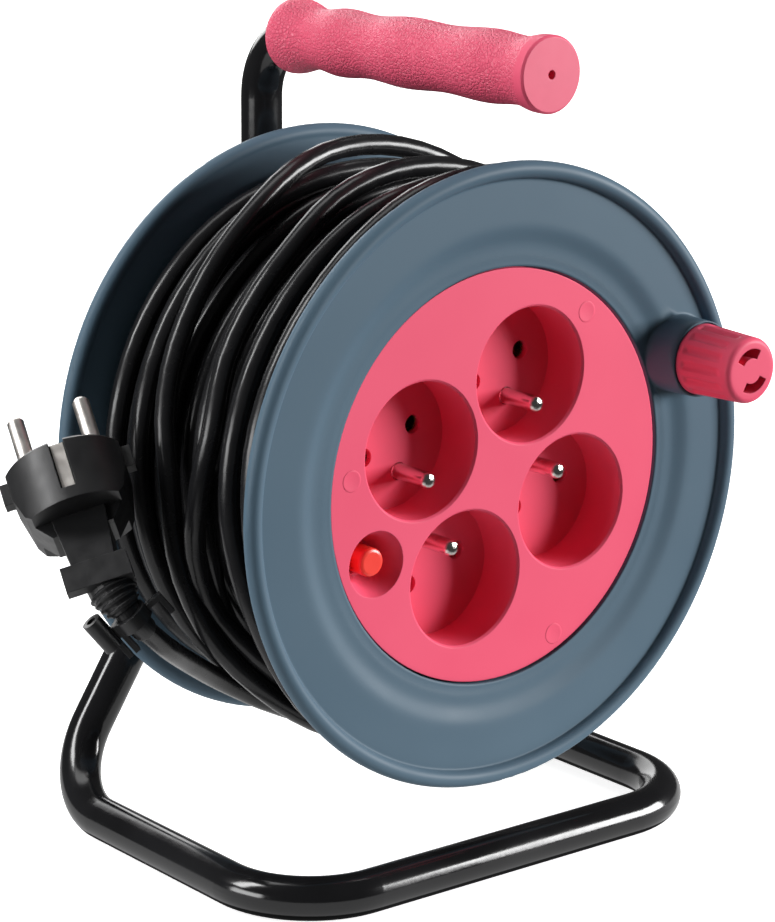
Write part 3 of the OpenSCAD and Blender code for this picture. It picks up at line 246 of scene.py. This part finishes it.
class Finish:
    """A procedural material: colour that drifts, uneven gloss and a fine surface."""

    def __init__(self, name, colour, roughness, metallic=0.0):
        self.mat = bpy.data.materials.new(name)
        self.mat.use_nodes = True
        self.tree = self.mat.node_tree
        self.bsdf = self.tree.nodes["Principled BSDF"]
        self.bsdf.inputs["Base Color"].default_value = (*colour, 1)
        self.bsdf.inputs["Roughness"].default_value = roughness
        self.bsdf.inputs["Metallic"].default_value = metallic
        self.colour = colour
        self.place = self.tree.nodes.new("ShaderNodeTexCoord")
        self.normal = None

    def node(self, kind, inputs=(), **settings):
        n = self.tree.nodes.new(kind)
        for key, value in settings.items():
            setattr(n, key, value)
        for key, value in dict(inputs).items():
            n.inputs[key].default_value = value
        return n

    def link(self, a, b):
        self.tree.links.new(a, b)

    def noise(self, scale, detail=3.0, stretch=(1, 1, 1)):
        m = self.node("ShaderNodeMapping", {"Scale": stretch})
        self.link(self.place.outputs["Object"], m.inputs["Vector"])
        n = self.node("ShaderNodeTexNoise", {"Scale": scale, "Detail": detail})
        self.link(m.outputs["Vector"], n.inputs["Vector"])
        return n.outputs["Fac"]

    def drift(self, other, scale, detail=3.0, low=0.35, high=0.65):
        """The colour drifts towards another one."""
        ramp = self.node("ShaderNodeValToRGB")
        for element, place, colour in zip(ramp.color_ramp.elements, (low, high), (self.colour, other)):
            element.position = place
            element.color = (*colour, 1)
        self.link(self.noise(scale, detail), ramp.inputs["Fac"])
        self.link(ramp.outputs["Color"], self.bsdf.inputs["Base Color"])
        return self

    def gloss(self, low, high, scale, detail=4.0, stretch=(1, 1, 1)):
        """Roughness between two values."""
        m = self.node("ShaderNodeMapRange", {"From Min": NOISE_RANGE[0], "From Max": NOISE_RANGE[1],
                                             "To Min": low, "To Max": high})
        self.link(self.noise(scale, detail, stretch), m.inputs["Value"])
        self.link(m.outputs["Result"], self.bsdf.inputs["Roughness"])
        return self

    def specular(self, level):
        self.bsdf.inputs["Specular IOR Level"].default_value = level
        return self

    def set_normal(self, socket):
        self.normal = socket
        self.link(socket, self.bsdf.inputs["Normal"])
        return self

    def edges(self, radius):
        """Moulded edges, rounded by the given radius in mm."""
        bevel = self.node("ShaderNodeBevel", {"Radius": radius * MM}, samples=4)
        return self.set_normal(bevel.outputs["Normal"])

    def eased(self, radius, wide, step_r, reach, fade=2):
        """Edges rounded by a radius in mm, and by a wide one within reach of the step at radius step_r."""
        flat = self.node("ShaderNodeVectorMath", {1: (1, 0, 1)}, operation="MULTIPLY")
        self.link(self.place.outputs["Object"], flat.inputs[0])
        far = self.node("ShaderNodeVectorMath", {1: (0, 0, AXIS_H)}, operation="DISTANCE")
        self.link(flat.outputs[0], far.inputs[0])
        away = self.node("ShaderNodeMath", {1: step_r * MM}, operation="SUBTRACT")
        self.link(far.outputs["Value"], away.inputs[0])
        size = self.node("ShaderNodeMath", operation="ABSOLUTE")
        self.link(away.outputs[0], size.inputs[0])
        ease = self.node("ShaderNodeMapRange", {"From Min": reach * MM, "From Max": (reach + fade) * MM,
                                                "To Min": wide * MM, "To Max": radius * MM})
        self.link(size.outputs[0], ease.inputs["Value"])
        bevel = self.node("ShaderNodeBevel", samples=8)
        self.link(ease.outputs["Result"], bevel.inputs["Radius"])
        return self.set_normal(bevel.outputs["Normal"])

    def bump(self, height, distance):
        b = self.node("ShaderNodeBump", {"Strength": 1.0, "Distance": distance * MM})
        self.link(height, b.inputs["Height"])
        if self.normal:
            self.link(self.normal, b.inputs["Normal"])
        return self.set_normal(b.outputs["Normal"])

    def grain(self, scale, distance, detail=2.0):
        return self.bump(self.noise(scale, detail), distance)

    def cells(self, scale, distance, from_y, groove=0.25, fade=2):
        """Leather-like cells with grooves between them, behind the given Y only."""
        v = self.node("ShaderNodeTexVoronoi", {"Scale": scale}, feature="DISTANCE_TO_EDGE")
        self.link(self.place.outputs["Object"], v.inputs["Vector"])
        height = self.node("ShaderNodeMapRange", {"From Max": groove})
        self.link(v.outputs["Distance"], height.inputs["Value"])
        axes = self.node("ShaderNodeSeparateXYZ")
        self.link(self.place.outputs["Object"], axes.inputs["Vector"])
        grained = self.node("ShaderNodeMapRange", {"From Min": from_y, "From Max": from_y + fade * MM})
        self.link(axes.outputs["Y"], grained.inputs["Value"])
        both = self.node("ShaderNodeMath", operation="MULTIPLY")
        self.link(height.outputs["Result"], both.inputs[0])
        self.link(grained.outputs["Result"], both.inputs[1])
        return self.bump(both.outputs["Value"], distance)


FLANGE_STEP_R = 69     # the flange's face steps down at this radius
GRIP_DISC_Y = -0.0592  # in front of this Y, in m, the grip's end disc has no leather grain

blue = Finish("blue_plastic", (0.081, 0.132, 0.178), 0.45).specular(0.18)
blue.drift((0.088, 0.142, 0.189), 14).gloss(0.42, 0.52, 40).eased(1.2, 6, FLANGE_STEP_R, 6).grain(3200, 0.006)
pink = Finish("pink_plastic", (0.83, 0.095, 0.175), 0.3).specular(0.2)
pink.drift((0.86, 0.103, 0.186), 20).gloss(0.42, 0.52, 50).edges(0.4).grain(3200, 0.005)
grip = Finish("grip_plastic", (0.74, 0.088, 0.165), 0.38).specular(0.4)
grip.drift((0.80, 0.100, 0.185), 60).gloss(0.36, 0.48, 300).edges(0.4)
grip.cells(900, 0.22, GRIP_DISC_Y).grain(2600, 0.010)
red = Finish("red_plastic", (0.92, 0.055, 0.040), 0.3)
red.drift((0.95, 0.070, 0.050), 60).gloss(0.26, 0.34, 120).edges(0.4).grain(3000, 0.004)
paint = Finish("black_paint", (0.006, 0.006, 0.0065), 0.14)
paint.drift((0.010, 0.010, 0.011), 30).gloss(0.10, 0.20, 70).edges(0.4).grain(420, 0.012)
sheath = Finish("cord_sheath", (0.009, 0.009, 0.010), 0.25).specular(0.35)
sheath.drift((0.014, 0.014, 0.015), 45).gloss(0.20, 0.30, 160).grain(1500, 0.008)
black = Finish("black_plastic", (0.012, 0.012, 0.013), 0.4)
black.drift((0.018, 0.018, 0.019), 80).gloss(0.34, 0.46, 240).edges(0.3).grain(2400, 0.015)
nickel = Finish("nickel", (0.80, 0.77, 0.73), 0.15, 1.0)
nickel.drift((0.72, 0.69, 0.65), 140).gloss(0.08, 0.16, 400, stretch=(1, 1, 0.1)).edges(1.2)
satin = Finish("satin_nickel", (0.80, 0.76, 0.72), 0.4, 1.0)
satin.drift((0.74, 0.70, 0.66), 140).gloss(0.30, 0.45, 400).edges(0.25).grain(900, 0.004)
zinc = Finish("zinc_steel", (0.62, 0.63, 0.65), 0.32, 1.0)
zinc.drift((0.55, 0.56, 0.57), 120).gloss(0.26, 0.42, 260).edges(0.3).grain(1400, 0.006)
brass = Finish("brass", (0.78, 0.57, 0.24), 0.25, 1.0)
brass.drift((0.70, 0.50, 0.20), 150).gloss(0.20, 0.34, 300).edges(0.2).grain(1400, 0.006)
pale = Finish("pale_plastic", (0.72, 0.70, 0.64), 0.42)
pale.drift((0.66, 0.64, 0.58), 60).gloss(0.36, 0.50, 120).edges(0.3).grain(2600, 0.01)
brown = Finish("brown_lead", (0.13, 0.06, 0.03), 0.42)
brown.drift((0.17, 0.08, 0.04), 200).gloss(0.36, 0.50, 400).grain(3000, 0.01)
blue_lead = Finish("blue_lead", (0.05, 0.13, 0.42), 0.42)
blue_lead.drift((0.06, 0.16, 0.48), 200).gloss(0.36, 0.50, 400).grain(3000, 0.01)
green = Finish("green_lead", (0.15, 0.42, 0.06), 0.42)
green.drift((0.70, 0.62, 0.05), 160, low=0.49, high=0.51).gloss(0.36, 0.50, 400).grain(3000, 0.01)

NODE_FINISH = {
    blue: ["front_flange", "rear_flange", "drum_core"],
    pink: ["socket_panel", "winding_knob"],
    grip: ["handle_grip"],
    red: ["reset_button"],
    paint: ["base_frame", "handle_tube", "hub_plate"],
    black: ["plug_body", "plug_strain_relief", "cord_clip", "thermal_breaker"],
    nickel: ["earth_pins"],
    satin: ["plug_pins", "plug_earth_strips"],
    zinc: ["stub_axle", "retaining_washer", "axle_screw", "front_screws", "rear_screws", "carrier_screws",
           "clamp_screws", "reset_spring"],
    brass: ["live_bar", "neutral_bar", "earth_bar"],
    pale: ["contact_carrier", "cord_clamp", "hub_bush", "thrust_washer"],
    sheath: ["cord_inner", "cord_gland"],
    brown: ["lead_live", "lead_breaker"],
    blue_lead: ["lead_neutral"],
    green: ["lead_earth"],
}
for finish, names in NODE_FINISH.items():
    for n in names:
        nodes[n].data.materials.clear()
        nodes[n].data.materials.append(finish.mat)
for cord in (winding, tail):
    cord.data.materials.append(sheath.mat)

# The winding knob. Lengths on it are measured from its rear end.
KNOB_SEGS = 168
KNOB_ANGLE, KNOB_ORBIT = 22.5, 72      # angle and radius of its axis round the reel
KNOB_BASE, KNOB_LEN = -9.7, 20.8       # depth of its rear end, length
KNOB_R, KNOB_END_R = 10.4, 9.65
KNOB_ROUND, REAR_EDGE = 1.75, 0.3      # rounding of its end, edge at its rear
SIDE_FROM, SIDE_RINGS = 1.2, 40        # its side: first ring, and how many
FLUTES, FLUTE_DEPTH = 14, 0.85
FLUTE_WAVE = (0.25, 0.95)              # part of the wave that makes a flute's flanks
FLUTE_IN, FLUTE_OUT = (1.9, 2.9), (15.2, 17.8)  # where the flutes run in and out
SLOT_RINGS = (3.7, 6.5)                # radii of the two arc slots in its end
SLOT_MIDDLES, SLOT_HALF_ARC = (105, 287), 46
BORE_R, BORE_DEPTH, SHOULDER = 4.75, 15.4, 11.5  # the post's hole, wider past its shoulder
SHARP_ANGLE = 35                       # a mesh is smooth over edges below this angle


def rise(x, low, high):
    """0 below low, 1 above high, and smooth between them."""
    t = min(1, max(0, (x - low) / (high - low)))
    return t * t * (3 - 2 * t)


def make_mesh(name, points, faces, finish):
    """A closed mesh of the used points, with its faces turned outwards."""
    used = sorted({i for f in faces for i in f})
    place = {old: new for new, old in enumerate(used)}
    mesh = bpy.data.meshes.new(name)
    mesh.from_pydata([points[i] for i in used], [], [[place[i] for i in f] for f in faces])
    shape = bmesh.new()
    shape.from_mesh(mesh)
    bmesh.ops.recalc_face_normals(shape, faces=shape.faces)
    shape.to_mesh(mesh)
    shape.free()
    mesh.shade_smooth()
    mesh.set_sharp_from_angle(angle=math.radians(SHARP_ANGLE))
    mesh.materials.append(finish.mat)
    return mesh


def knob_rings():
    """The side of the knob, as (part of a flute's depth, radius, distance from the rear end)."""
    rings = [(0, KNOB_R - REAR_EDGE, 0), (0, KNOB_R, REAR_EDGE)]
    side_end = KNOB_LEN - KNOB_ROUND
    for x in np.linspace(SIDE_FROM, side_end, SIDE_RINGS):
        flute = rise(x, *FLUTE_IN) * (1 - rise(x, *FLUTE_OUT))
        rings.append((flute, KNOB_R + (KNOB_END_R - KNOB_R) * x / side_end, x))
    for a in np.radians(range(10, 91, 10)):
        rings.append((0, KNOB_END_R - KNOB_ROUND * (1 - math.cos(a)), side_end + KNOB_ROUND * math.sin(a)))
    return rings


def make_knob():
    """The winding knob with its flutes, and two arc slots sunk in its end."""
    step = 360 / KNOB_SEGS
    points, faces = [], []

    def ring(radius_at, along):
        first = len(points)
        centre = reel_point(KNOB_ANGLE, KNOB_BASE - along, KNOB_ORBIT)
        for k in range(KNOB_SEGS):
            r, a = radius_at(k * step), math.radians(k * step)
            points.append(centre + Vector((math.cos(a), 0, math.sin(a))) * r * MM)
        return first

    def band(a, b, k):
        n = (k + 1) % KNOB_SEGS
        faces.append((a + k, b + k, b + n, a + n))

    def in_slot(k):
        turn = (k + 0.5) * step
        return any(abs((turn - m + 180) % 360 - 180) < SLOT_HALF_ARC for m in SLOT_MIDDLES)

    side = []
    for flute, radius, along in knob_rings():
        def fluted(angle, flute=flute, radius=radius):
            wave = 0.5 + 0.5 * math.cos(math.radians(angle * FLUTES))
            return radius - FLUTE_DEPTH * flute * rise(wave, *FLUTE_WAVE)
        side.append(ring(fluted, along))
    inside, outside = SLOT_RINGS
    outer = ring(lambda a: outside, KNOB_LEN)
    inner = ring(lambda a: inside, KNOB_LEN)
    roof_outer = ring(lambda a: outside, BORE_DEPTH)
    roof_inner = ring(lambda a: inside, BORE_DEPTH)
    bore = [ring(lambda a: outside, SHOULDER), ring(lambda a: BORE_R, SHOULDER), ring(lambda a: BORE_R, 0)]
    walls = side + [outer], [roof_outer] + bore + [side[0]]
    for wall in walls:
        for a, b in zip(wall, wall[1:]):
            for k in range(KNOB_SEGS):
                band(a, b, k)
    for k in range(KNOB_SEGS):
        if not in_slot(k):
            band(outer, inner, k)
            band(roof_inner, roof_outer, k)
            continue
        band(outer, roof_outer, k)
        band(roof_inner, inner, k)
        n = (k + 1) % KNOB_SEGS
        if not in_slot((k - 1) % KNOB_SEGS):
            faces.append((outer + k, inner + k, roof_inner + k, roof_outer + k))
        if not in_slot(n):
            faces.append((outer + n, roof_outer + n, roof_inner + n, inner + n))
    for disc in (inner, roof_inner):
        faces.append([disc + k for k in range(KNOB_SEGS)])
    knob = bpy.data.objects.new("fluted_knob", make_mesh("fluted_knob", points, faces, pink))
    scene.collection.objects.link(knob)
    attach(knob, "knob")
    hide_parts("winding_knob")


make_knob()

# The round ejector marks on the socket panel: angle and radius round the reel.
MOULD_MARKS = [(172.6, 52.9), (293.7, 55.1), (53.5, 54.3)]
MARK_R, MARK_FACE, MARK_BACK = 3.1, 2.25, 2.5  # radius, depths of its face and of its back in the panel


def make_mould_mark(name, angle, radius):
    """A round ejector mark, its low ring a little proud of the socket panel."""
    sides = 48
    centre = reel_point(angle, 0, radius)
    face = MARK_FACE
    profile = [(0, MARK_BACK), (0, face + 0.02), (0.15, face), (0.5, face), (0.8, face + 0.03)]
    rings = [(MARK_R - inset, depth) for inset, depth in profile]
    points, faces = [], []
    for radial, depth in rings:
        for k in range(sides):
            a = 2 * math.pi * k / sides
            points.append(centre + Vector((radial * math.cos(a), depth, radial * math.sin(a))) * MM)
    for i in range(len(rings) - 1):
        for k in range(sides):
            n = (k + 1) % sides
            faces.append((i * sides + k, (i + 1) * sides + k, (i + 1) * sides + n, i * sides + n))
    faces.append([(len(rings) - 1) * sides + k for k in range(sides)])
    faces.append([sides - 1 - k for k in range(sides)])
    mark = bpy.data.objects.new(name, make_mesh(name, points, faces, pink))
    scene.collection.objects.link(mark)
    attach(mark, "drum")


for number, (angle, radius) in enumerate(MOULD_MARKS, 1):
    make_mould_mark(f"mould_mark_{number}", angle, radius)

# The stage, in m and W. A light's row: place, target, size, power.
FLOOR_HALF = 6.0
WORLD_LIGHT = 0.05
KEY = (2.55, -1.95, 0.75), (0, 0, 0.12), (1.75, 1.3), 170
LIGHTS = {
    "top": ((0.1, 0.35, 1.7), (0, 0, 0.12), (1.8, 0.5), 8),
    "left": ((-1.15, 0.5, 1.15), (0, 0, 0.16), (0.35, 0.9), 17),
    "low": ((-1.4, 0.2, 0.25), (0, 0, 0.1), (0.8, 0.4), 10),
    "back": ((0.5, 2.0, 0.9), (0, 0, 0.12), (1.6, 1.2), 20),
    "under": ((0, 0.08, 0.003), (0, 0.08, 1), (0.5, 0.4), 0.5),
}


def make_floor():
    mesh = bpy.data.meshes.new("floor")
    s = FLOOR_HALF
    mesh.from_pydata([(-s, -s, 0), (s, -s, 0), (s, s, 0), (-s, s, 0)], [], [(0, 1, 2, 3)])
    floor = bpy.data.objects.new("floor", mesh)
    scene.collection.objects.link(floor)
    pale_floor = Finish("pale_floor", (0.88, 0.88, 0.88), 0.7).specular(0.1)
    pale_floor.drift((0.90, 0.90, 0.90), 3)
    pale_floor.bsdf.inputs["Emission Color"].default_value = (1, 1, 1, 1)
    pale_floor.bsdf.inputs["Emission Strength"].default_value = 0.85
    mesh.materials.append(pale_floor.mat)
    # The floor takes shadows, but throws no light up on the reel.
    floor.visible_diffuse = False
    floor.visible_glossy = False


def make_light(name, place, target, size, power):
    data = bpy.data.lights.new(name, "AREA")
    data.shape = "RECTANGLE"
    data.size, data.size_y = size
    data.energy = power
    lamp = bpy.data.objects.new(name, data)
    scene.collection.objects.link(lamp)
    way = (Vector(target) - Vector(place)).normalized()
    lamp.matrix_world = Matrix.Translation(place) @ way.to_track_quat("-Z", "Y").to_matrix().to_4x4()
    return lamp


def make_key():
    """The key light in two: the panel's half isn't shaded by the knob, as in the photo.

    Neither half reaches the contacts behind the holes, which are dark in the photo.
    """
    panel = [nodes[n] for n in ("socket_panel", "earth_pins", "reset_button")]
    panel += [o for o in scene.objects if o.name.startswith("mould_mark")]
    behind = [nodes[n] for n in ("contact_carrier", "live_bar", "neutral_bar", "earth_bar")]
    for name, state, group in (("key", "EXCLUDE", panel + behind), ("panel_key", "INCLUDE", panel)):
        lamp = make_light(name, *KEY)
        lit = bpy.data.collections.new(name + "_lit")
        for obj in group:
            lit.objects.link(obj)
        for entry in lit.collection_objects:
            entry.light_linking.link_state = state
        lamp.light_linking.receiver_collection = lit
        if state == "INCLUDE":
            lamp.light_linking.blocker_collection = lit


make_floor()
world = bpy.data.worlds.new("studio")
scene.world = world
world.use_nodes = True
background = world.node_tree.nodes["Background"]
background.inputs["Color"].default_value = (1, 1, 1, 1)
background.inputs["Strength"].default_value = WORLD_LIGHT
make_key()
for name, row in LIGHTS.items():
    make_light(name, *row)
scene.view_settings.view_transform = "Standard"
scene.view_settings.look = "None"

bpy.context.view_layer.update()
